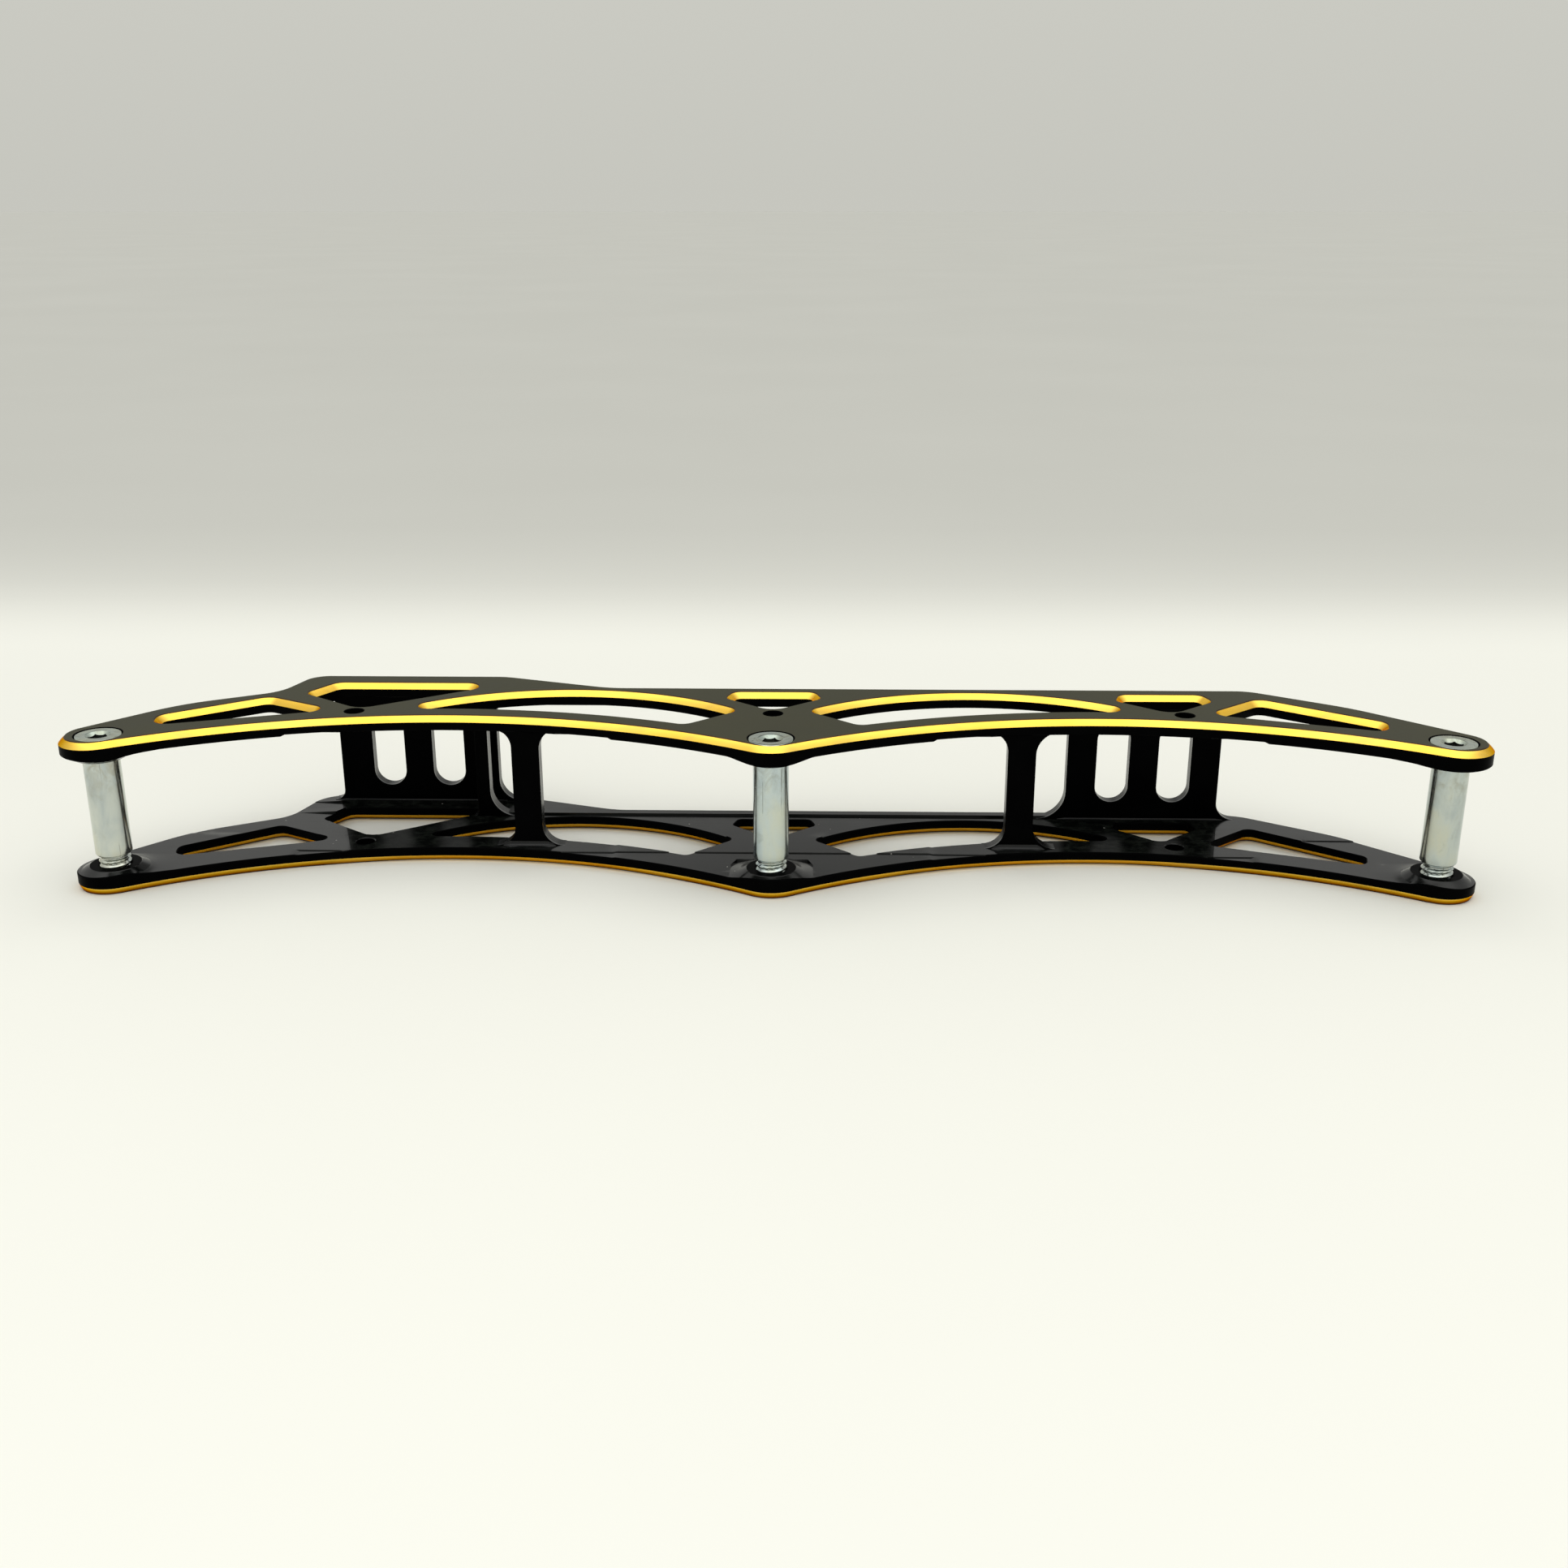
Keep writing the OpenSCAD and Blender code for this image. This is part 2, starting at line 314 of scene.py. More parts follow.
# ---------------------------------------------------------------------------
# Mesh collecting
# ---------------------------------------------------------------------------
class Mesh:
    def __init__(self):
        self.v, self.f, self.m = [], [], []

    def points(self, pts):
        s = len(self.v)
        self.v += [tuple(p) for p in pts]
        return list(range(s, s + len(pts)))

    def strip(self, a, b, mat):
        n = len(a)
        for i in range(n):
            j = (i + 1) % n
            self.f.append((a[i], a[j], b[j], b[i]))
            self.m.append(mat)

    def tris(self, ids, tris, mat):
        for t in tris:
            self.f.append(tuple(ids[i] for i in t))
            self.m.append(mat)

    def build(self, name, mats):
        me = bpy.data.meshes.new(name)
        me.from_pydata(self.v, [], self.f)
        for mt in mats:
            me.materials.append(mt)
        me.polygons.foreach_set("material_index", self.m)
        me.validate()
        ob = bpy.data.objects.new(name, me)
        bpy.context.scene.collection.objects.link(ob)
        bm = bmesh.new()
        bm.from_mesh(me)
        bmesh.ops.remove_doubles(bm, verts=bm.verts, dist=2e-7)
        bmesh.ops.recalc_face_normals(bm, faces=bm.faces)
        bm.to_mesh(me)
        bm.free()
        return ob


def shade(ob, limit=14.0):
    """Smooth shading with creases where faces turn by more than limit degrees."""
    me = ob.data
    bm = bmesh.new()
    bm.from_mesh(me)
    bmesh.ops.dissolve_degenerate(bm, edges=bm.edges, dist=1e-7)
    c = math.radians(limit)
    for f in bm.faces:
        f.smooth = True
    for e in bm.edges:
        if len(e.link_faces) == 2:
            e.smooth = e.calc_face_angle(0.0) < c and e.link_faces[0].material_index == e.link_faces[1].material_index
        else:
            e.smooth = False
    bm.to_mesh(me)
    bm.free()
    me.update()


def combine(ob, others, operation):
    """Boolean of ob with the others, applied, and the others removed."""
    for o in others:
        md = ob.modifiers.new("cut", "BOOLEAN")
        md.operation = operation
        md.solver = "EXACT"
        md.object = o
    bpy.context.view_layer.update()
    dg = bpy.context.evaluated_depsgraph_get()
    me = bpy.data.meshes.new_from_object(ob.evaluated_get(dg))
    old = ob.data
    ob.modifiers.clear()
    ob.data = me
    name = old.name
    bpy.data.meshes.remove(old)
    me.name = name
    for o in others:
        d = o.data
        bpy.data.objects.remove(o)
        bpy.data.meshes.remove(d)
    return ob


def lathe(name, rows, mats, at=(0.0, 0.0), seg=96, mat=None):
    """A closed turned piece. rows are (r, z) or (function of angle, z), from pole to pole; mat(i) gives the band's material."""
    ms = Mesh()
    rings = []
    for r, z in rows:
        if not callable(r) and r == 0:
            rings.append(ms.points([M(at[0], at[1], z)]))
            continue
        pts = []
        for k in range(seg):
            t = 2 * math.pi * k / seg
            rr = r(t) if callable(r) else r
            pts.append(M(at[0] + rr * math.cos(t), at[1] + rr * math.sin(t), z))
        rings.append(ms.points(pts))
    for i in range(len(rings) - 1):
        a, b = rings[i], rings[i + 1]
        mi = mat(i) if mat else 0
        if len(a) == 1 or len(b) == 1:
            tip, loop = (a[0], b) if len(a) == 1 else (b[0], a)
            for k in range(seg):
                ms.f.append((tip, loop[k], loop[(k + 1) % seg]))
                ms.m.append(mi)
        else:
            ms.strip(a, b, mi)
    return ms.build(name, mats)


# ---------------------------------------------------------------------------
# Materials
# ---------------------------------------------------------------------------
class Nodes:
    """Small helper for building a node material."""

    def __init__(self, name):
        self.mat = bpy.data.materials.new(name)
        self.mat.use_nodes = True
        self.t = self.mat.node_tree
        self.t.nodes.clear()
        self.out = self.t.nodes.new("ShaderNodeOutputMaterial")
        self.bsdf = self.t.nodes.new("ShaderNodeBsdfPrincipled")
        self.t.links.new(self.bsdf.outputs[0], self.out.inputs[0])
        self.coord = self.t.nodes.new("ShaderNodeTexCoord")

    def link(self, a, b):
        self.t.links.new(a, b)

    def set(self, **kw):
        for k, v in kw.items():
            self.bsdf.inputs[k.replace("_", " ")].default_value = v

    def mapping(self, scale, rot=(0, 0, 0), loc=(0, 0, 0)):
        n = self.t.nodes.new("ShaderNodeMapping")
        n.inputs["Scale"].default_value = scale
        n.inputs["Rotation"].default_value = rot
        n.inputs["Location"].default_value = loc
        self.link(self.coord.outputs["Object"], n.inputs["Vector"])
        return n.outputs[0]

    def noise(self, vec, scale, detail=2.0, rough=0.5, distortion=0.0):
        n = self.t.nodes.new("ShaderNodeTexNoise")
        n.inputs["Scale"].default_value = scale
        n.inputs["Detail"].default_value = detail
        n.inputs["Roughness"].default_value = rough
        n.inputs["Distortion"].default_value = distortion
        self.link(vec, n.inputs["Vector"])
        return n.outputs["Fac"]

    def voronoi(self, vec, scale, feature="F1"):
        n = self.t.nodes.new("ShaderNodeTexVoronoi")
        n.feature = feature
        n.inputs["Scale"].default_value = scale
        self.link(vec, n.inputs["Vector"])
        return n.outputs["Distance"]

    def ramp(self, fac, stops, interp="LINEAR"):
        n = self.t.nodes.new("ShaderNodeValToRGB")
        n.color_ramp.interpolation = interp
        el = n.color_ramp.elements
        while len(el) < len(stops):
            el.new(0.5)
        for e, (p, c) in zip(el, stops):
            e.position = p
            e.color = (c, c, c, 1) if isinstance(c, (int, float)) else (*c, 1)
        self.link(fac, n.inputs[0])
        return n.outputs[0]

    def range(self, fac, lo, hi, f0=0.0, f1=1.0):
        n = self.t.nodes.new("ShaderNodeMapRange")
        n.inputs["From Min"].default_value = f0
        n.inputs["From Max"].default_value = f1
        n.inputs["To Min"].default_value = lo
        n.inputs["To Max"].default_value = hi
        self.link(fac, n.inputs["Value"])
        return n.outputs[0]

    def math(self, op, a, b):
        n = self.t.nodes.new("ShaderNodeMath")
        n.operation = op
        for i, v in enumerate((a, b)):
            if isinstance(v, (int, float)):
                n.inputs[i].default_value = v
            else:
                self.link(v, n.inputs[i])
        return n.outputs[0]

    def mix(self, fac, a, b, blend="MIX"):
        n = self.t.nodes.new("ShaderNodeMix")
        n.data_type = "RGBA"
        n.blend_type = blend
        ins = {s.identifier: s for s in n.inputs}
        for ident, v in (("Factor_Float", fac), ("A_Color", a), ("B_Color", b)):
            s = ins[ident]
            if isinstance(v, tuple):
                s.default_value = (*v, 1)
            elif isinstance(v, (int, float)):
                s.default_value = v
            else:
                self.link(v, s)
        return next(o for o in n.outputs if o.identifier == "Result_Color")

    def bump(self, height, strength, distance, normal=None):
        n = self.t.nodes.new("ShaderNodeBump")
        n.inputs["Strength"].default_value = strength
        n.inputs["Distance"].default_value = distance
        self.link(height, n.inputs["Height"])
        if normal is not None:
            self.link(normal, n.inputs["Normal"])
        return n.outputs[0]


def black_face():
    """Satin black anodising on the outer faces: fine blasted grain, faint cloudiness."""
    n = Nodes("black_anodised_satin")
    n.set(Metallic=0.0, IOR=1.12)
    obj = n.coord.outputs["Object"]
    cloud = n.noise(obj, 55, 4, 0.6)
    grain = n.noise(obj, 5200, 2, 0.6)
    col = n.ramp(cloud, [(0.3, (0.0350, 0.0344, 0.0200)), (0.7, (0.0480, 0.0470, 0.0275))])
    col = n.mix(n.range(grain, 0.0, 0.35, 0.45, 0.75), col, (0.062, 0.0605, 0.0360))
    n.link(col, n.bsdf.inputs["Base Color"])
    n.link(n.range(n.math("ADD", n.math("MULTIPLY", cloud, 0.6), n.math("MULTIPLY", grain, 0.4)), 0.30, 0.44, 0.3, 0.7), n.bsdf.inputs["Roughness"])
    n.link(n.bump(grain, 0.12, 0.00004), n.bsdf.inputs["Normal"])
    return n.mat


def black_inner(name="black_anodised_milled", ior=1.39, rough=(0.11, 0.25), haze=0.0):
    """Milled and anodised inner faces: lines along the frame, smudges, a little dust, a mottled haze if any."""
    n = Nodes(name)
    n.set(Metallic=0.0, IOR=ior)
    obj = n.coord.outputs["Object"]
    lines = n.noise(n.mapping((6, 900, 900)), 1.0, 3, 0.65)
    fine = n.noise(n.mapping((25, 4200, 4200)), 1.0, 2, 0.6)
    smudge = n.noise(obj, 75, 4, 0.62, 0.4)
    col = n.ramp(smudge, [(0.3, (0.0010, 0.0014, 0.0013)), (0.72, (0.0030, 0.0036, 0.0031))])
    col = n.mix(n.range(lines, 0.0, 0.5, 0.48, 0.75), col, (0.0050, 0.0058, 0.0050))
    if haze:
        mottle = n.noise(n.mapping((1, 1, 1), loc=(0.6, 2.3, 1.1)), 380, 4, 0.7, 0.5)
        col = n.mix(n.range(mottle, 0.0, haze, 0.44, 0.68), col, (0.030, 0.035, 0.029))
    speck = n.voronoi(obj, 330)
    rare = n.noise(n.mapping((1, 1, 1), loc=(3.1, 1.7, 0.4)), 90, 1, 0.5)
    dust = n.math("MULTIPLY", n.range(speck, 1.0, 0.0, 0.055, 0.075), n.range(rare, 0.0, 1.0, 0.60, 0.64))
    col = n.mix(dust, col, (0.36, 0.36, 0.33))
    n.link(col, n.bsdf.inputs["Base Color"])
    r = n.math("ADD", n.range(smudge, rough[0], rough[1], 0.3, 0.75), n.range(lines, -0.02, 0.06, 0.35, 0.7))
    n.link(n.math("MAXIMUM", r, 0.07), n.bsdf.inputs["Roughness"])
    b = n.bump(n.math("ADD", n.math("MULTIPLY", lines, 0.6), n.math("MULTIPLY", fine, 0.4)), 0.06, 0.00005)
    n.link(b, n.bsdf.inputs["Normal"])
    return n.mat


def black_wall():
    """Cut black walls of the plates, decks and braces: fine tool lines, darker than the faces."""
    n = Nodes("black_anodised_cut")
    n.set(Metallic=0.0, IOR=1.06)
    obj = n.coord.outputs["Object"]
    tool = n.noise(n.mapping((60, 60, 2600)), 1.0, 3, 0.6)
    cloud = n.noise(obj, 120, 3, 0.6)
    col = n.ramp(cloud, [(0.3, (0.0003, 0.0003, 0.0004)), (0.75, (0.0010, 0.0011, 0.0012))])
    n.link(col, n.bsdf.inputs["Base Color"])
    n.link(n.range(n.math("ADD", n.math("MULTIPLY", tool, 0.5), n.math("MULTIPLY", cloud, 0.5)), 0.24, 0.44, 0.3, 0.7), n.bsdf.inputs["Roughness"])
    n.link(n.bump(tool, 0.10, 0.00005), n.bsdf.inputs["Normal"])
    return n.mat


def black_side(name="black_anodised_side", ior=1.36, painted_highlight_gain=1.0):
    """Milled side walls of the slots and webs and the root fillets: brighter than the flat cut walls. A light factor
    above 1 gives a brighter copy, a painted highlight along the front edge of slot and web walls.
    """
    n = Nodes(name)
    n.set(Metallic=0.0, IOR=ior)
    obj = n.coord.outputs["Object"]
    tool = n.noise(n.mapping((120, 2200, 120)), 1.0, 3, 0.6)
    cloud = n.noise(obj, 150, 3, 0.6)
    lo, hi = (0.0042, 0.0046, 0.0048), (0.0090, 0.0096, 0.0098)
    n.link(n.ramp(cloud, [(0.3, tuple(v * painted_highlight_gain for v in lo)), (0.75, tuple(v * painted_highlight_gain for v in hi))]), n.bsdf.inputs["Base Color"])
    n.link(n.range(n.math("ADD", n.math("MULTIPLY", tool, 0.5), n.math("MULTIPLY", cloud, 0.5)), 0.20, 0.36, 0.3, 0.7), n.bsdf.inputs["Roughness"])
    n.link(n.bump(tool, 0.08, 0.00004), n.bsdf.inputs["Normal"])
    return n.mat


def gold(name="gold_bright_cut", low=False):
    """Bright-cut gold edge: fine cutter lines along the edge, tiny nicks. With low, on the lower plate, painted shade
    tones the cut brown towards the floor, in place of the shaded floor it would reflect at the contact.
    """
    n = Nodes(name)
    n.set(Metallic=1.0, Specular_Tint=(0.84, 0.40, 0.03, 1.0))
    obj = n.coord.outputs["Object"]
    lines = n.noise(n.mapping((14, 900, 900)), 1.0, 2, 0.5)
    patch = n.noise(n.mapping((40, 90, 90)), 1.0, 3, 0.6)
    col = n.ramp(patch, [(0.26, (0.94, 0.55, 0.066)), (0.46, (0.98, 0.62, 0.088)), (0.75, (1.0, 0.67, 0.115))])
    col = n.mix(n.range(lines, 0.0, 0.22, 0.5, 0.75), col, (1.0, 0.71, 0.145))
    dull = n.noise(n.mapping((26, 340, 340), loc=(2.2, 0.9, 4.1)), 1.0, 2, 0.5)
    col = n.mix(n.range(dull, 0.0, 0.5, 0.56, 0.74), col, (0.62, 0.44, 0.115))
    spots = n.voronoi(obj, 260)
    rare = n.noise(n.mapping((1, 1, 1), loc=(0.7, 5.3, 2.9)), 140, 1, 0.5)
    nick = n.math("MULTIPLY", n.range(spots, 1.0, 0.0, 0.05, 0.09), n.range(rare, 0.0, 1.0, 0.62, 0.66))
    col = n.mix(nick, col, (0.16, 0.085, 0.012))
    # Painted shade: darker brown towards the floor, darkest at the bottom of the cut, fading in where the outline's cut
    # stands steeper, towards both ends and the middle.
    if low:
        sep = n.t.nodes.new("ShaderNodeSeparateXYZ")
        n.link(obj, sep.inputs[0])
        height = n.range(sep.outputs["Z"], 0.0, 1.0, 0.0, CUT / 1000)
        tone = n.ramp(height, [(0.12, (0.13, 0.05, 0.015)), (0.28, (0.32, 0.17, 0.02)), (0.50, (0.54, 0.39, 0.035)), (0.76, (0.78, 0.73, 0.22)), (0.93, (1.0, 1.0, 0.95))])
        away = n.math("ABSOLUTE", n.math("SUBTRACT", n.math("ABSOLUTE", sep.outputs["X"], 0.0), 0.062), 0.0)
        col = n.mix(n.range(away, 0.0, 1.0, 0.0182, 0.0442), col, tone, "MULTIPLY")
    n.link(col, n.bsdf.inputs["Base Color"])
    n.link(n.math("ADD", n.range(lines, 0.25, 0.31, 0.3, 0.7), n.math("MULTIPLY", nick, 0.3)), n.bsdf.inputs["Roughness"])
    b = n.bump(lines, 0.02, 0.00004)
    n.link(n.bump(n.math("SUBTRACT", 1.0, nick), 0.4, 0.00008, b), n.bsdf.inputs["Normal"])
    return n.mat


def edge_line():
    """Dark red-brown line where the gold cut meets the black skin. On the lower plate that edge rests on the floor, and
    there the line is also painted contact shade.
    """
    n = Nodes("gold_edge_line")
    n.set(Metallic=0.55, Roughness=0.45)
    v = n.noise(n.mapping((80, 400, 400)), 1.0, 3, 0.6)
    n.link(n.ramp(v, [(0.3, (0.022, 0.009, 0.003)), (0.7, (0.066, 0.031, 0.007))]), n.bsdf.inputs["Base Color"])
    n.link(n.bump(v, 0.1, 0.00003), n.bsdf.inputs["Normal"])
    return n.mat


def zinc(name, tint):
    """Bright zinc plate: greenish silver, turned lines, lengthwise scuffs, blots and faint yellow stain."""
    n = Nodes(name)
    n.set(Metallic=1.0)

    def tone(*c):
        return tuple(v * t for v, t in zip(c, tint))

    turned = n.noise(n.mapping((90, 90, 3200)), 1.0, 2, 0.6)
    stain = n.noise(n.mapping((150, 150, 60)), 1.0, 4, 0.6, 0.6)
    col = n.ramp(stain, [(0.30, tone(0.40, 0.45, 0.46)), (0.50, tone(0.52, 0.56, 0.53)), (0.72, tone(0.58, 0.58, 0.47))])
    scuff = n.noise(n.mapping((1500, 1500, 36), rot=(0.05, 0.03, 0)), 1.0, 2, 0.5)
    here = n.noise(n.mapping((1, 1, 1), loc=(1.3, 0.2, 7.7)), 170, 2, 0.5)
    scr = n.math("MULTIPLY", n.range(scuff, 0.0, 1.0, 0.65, 0.72), n.range(here, 0.0, 1.0, 0.48, 0.56))
    col = n.mix(n.math("MULTIPLY", scr, 0.7), col, tone(0.17, 0.17, 0.14))
    blot = n.noise(n.mapping((420, 420, 260)), 1.0, 3, 0.6, 0.8)
    col = n.mix(n.range(blot, 0.0, 0.5, 0.58, 0.76), col, tone(0.33, 0.34, 0.29))
    sep = n.t.nodes.new("ShaderNodeSeparateXYZ")
    n.link(n.coord.outputs["Object"], sep.inputs[0])
    # Darker, yellowish patches towards the top of the screw: they fade in from 19 to 29 mm up and are full above, over
    # the head.
    high = n.range(sep.outputs["Z"], 0.0, 1.0, 0.019, 0.029)
    top_patches = n.noise(n.mapping((300, 300, 210), loc=(4.4, 1.9, 0.3)), 1.0, 4, 0.65, 1.0)
    top_darkening = n.math("MULTIPLY", n.math("MULTIPLY", high, 0.6), n.range(top_patches, 0.0, 1.0, 0.46, 0.64))
    col = n.mix(top_darkening, col, tone(0.31, 0.30, 0.24))
    n.link(col, n.bsdf.inputs["Base Color"])
    r = n.math("ADD", n.range(stain, 0.14, 0.24, 0.3, 0.75), n.range(turned, -0.02, 0.04, 0.3, 0.7))
    n.link(n.math("ADD", r, n.math("MULTIPLY", scr, 0.2)), n.bsdf.inputs["Roughness"])
    b = n.bump(turned, 0.06, 0.00003)
    n.link(n.bump(n.math("SUBTRACT", 1.0, scr), 0.25, 0.00004, b), n.bsdf.inputs["Normal"])
    return n.mat


FACE, GOLD, EDGE, WALL, INNER = black_face(), gold(), edge_line(), black_wall(), black_inner()
# Painted light: each screw's zinc is its own copy tinted for how it is lit, the heel screw lighter and warmer, the
# middle one bluer, the toe one near plain; the heads take a darker, greener copy.
ZINC = {"heel": zinc("zinc_plate_heel", (1.13, 1.11, 1.08)), "middle": zinc("zinc_plate_middle", (1.02, 1.08, 1.14)), "toe": zinc("zinc_plate_toe", (0.97, 0.98, 0.97))}
# The hex sockets take a much darker copy of the zinc: painted shade in the recess.
SOCKET_PAINTED_SHADE, HEAD = zinc("zinc_socket_painted_shade", (0.62, 0.62, 0.62)), zinc("zinc_head", (0.88, 0.92, 0.84))
# Index 6 is a brighter side-wall copy with a painted highlight; index 8 is the gold with painted shade towards the
# floor.
PLATE_MATS = [FACE, GOLD, EDGE, WALL, INNER, black_side(), black_side("black_anodised_side_painted_highlight", 1.8, 3.0), black_inner("black_anodised_milled_dull", 1.10, (0.17, 0.30), 0.35), gold("gold_bright_cut_painted_shade", True)]

# ---------------------------------------------------------------------------
# Side plates. w is the depth from the outer face, towards the wheels.
# ---------------------------------------------------------------------------
# Depth of the strip along the near edge: heel, middle and toe differ a little, as milled
RUN_X = (-150.0, -112.0, -37.0, 37.0, 112.0, 150.0)
RUN_W = {True: (3.50, 3.55, 3.75, 3.75, 3.98, 4.05), False: (3.55, 3.50, 3.50, 3.50, 3.32, 3.20)}
FAR_W = {True: 3.60, False: 3.47}
THIN = {True: 0.40, False: 0.18}
LINE_E, LINE_D, LEDGE, VALLEY, HEEL_LEDGE = 12.8, 23.2, 37.9, 40.7, 45.6
LEDGE_H, STEP, VALLEY_END = 0.5, 0.06, -62.0
BREAK_Y = (LINE_E, LINE_E + STEP, LINE_D, LINE_D + 0.25, LEDGE, LEDGE + STEP, VALLEY, VALLEY + 0.25, HEEL_LEDGE, HEEL_LEDGE + STEP)
BREAK_X = (-112.4, -111.5, -37.5, -36.7, 36.7, 37.5, 111.5, 112.4)
CONE = {True: ((5.75, 7.5, 9.0, 12.8), (5.05, 4.1, 3.65, 2.75)), False: ((5.75, 7.5, 9.0, 13.5), (5.05, 4.1, 3.8, 3.4))}


def clamp(v, a, b):
    return min(1.0, max(0.0, (v - a) / (b - a)))


def near_w(x, up):
    return float(np.interp(x, RUN_X, RUN_W[up]))


def level(x, y, up):
    """Depth of the inner face away from the pads."""
    far = FAR_W[up]
    high = LEDGE_H * clamp(x, -119.0, -110.0) * (1 - clamp(x, 106.0, 113.0))
    dip = 1 - clamp(x, VALLEY_END, VALLEY_END + 0.5)
    far += high * (clamp(y, LEDGE, LEDGE + STEP) + dip * (clamp(y, HEEL_LEDGE, HEEL_LEDGE + STEP) - clamp(y, VALLEY, VALLEY + 0.25)))
    if y >= LINE_D + 0.25:
        return far
    ax = abs(x)
    w = near_w(x, up) + 0.22 * clamp(y, LINE_E, LINE_E + STEP) * (1 - clamp(ax, 111.5, 112.4))
    w -= THIN[up] * clamp(ax, 36.7, 37.5) * (1 - clamp(ax, 111.5, 112.4))
    return w + (far - w) * clamp(y, LINE_D, LINE_D + 0.25)


def cone(r, axle_x, up):
    R, W = CONE[axle_x == 0]
    return float(np.interp(r, R, W)) + (near_w(axle_x, up) - 3.5) * clamp(r, 5.75, 7.5)


def in_mid(x, y, g=0.0):
    ax = abs(x)
    return ax <= 9.4 + g and y <= 8.9 + g and (y - 5.6) * 1.2 <= (9.4 + g - ax) * 3.3 + g * 3


def inner_w(x, y, up):
    for a in AXLES:
        r = math.hypot(x - a, y)
        if r > 14:
            continue
        if r <= PAD_R - 0.05:
            return PAD_W
        if r <= PAD_R + 1e-6:
            return CONE[True][1][0]
        if a == 0:
            if in_mid(x, y, 1e-4):
                return cone(r, a, up)
        elif y <= 9.2 + 1e-4 and r < 13.5:
            if r <= 10.4:
                return cone(r, a, up)
            t = (r - 10.4) / 3.1
            return cone(10.4, a, up) * (1 - t) + level(x, y, up) * t
    return level(x, y, up)


# Ends of the duller skin in front of the decks: a slanted line at each deck's outer end
DULL_HEEL, DULL_TOE = ((-97.85, 8.0), (-112.04, 51.0)), ((101.7, 8.0), (109.07, 37.9))


def dull(x, y):
    """Whether the inner face has its duller skin here."""
    def at(ends):
        (xa, ya), (xb, yb) = ends
        return xa + (xb - xa) * (y - ya) / (yb - ya)
    if x < 0:
        return at(DULL_HEEL) < x < (-58.0 if y < 24 else VALLEY_END)
    return y < LEDGE and 58.0 < x < at(DULL_TOE)


def sample(a, b, step):
    L = norm(sub(b, a))
    n = max(1, int(round(L / step)))
    return [(a[0] + (b[0] - a[0]) * i / n, a[1] + (b[1] - a[1]) * i / n) for i in range(n + 1)]


def runs(pts, ok):
    """The unbroken stretches of pts where ok."""
    out, cur = [], []
    for p, k in zip(pts, ok):
        if k:
            cur.append(p)
        else:
            if len(cur) > 1:
                out.append(cur)
            cur = []
    if len(cur) > 1:
        out.append(cur)
    return out


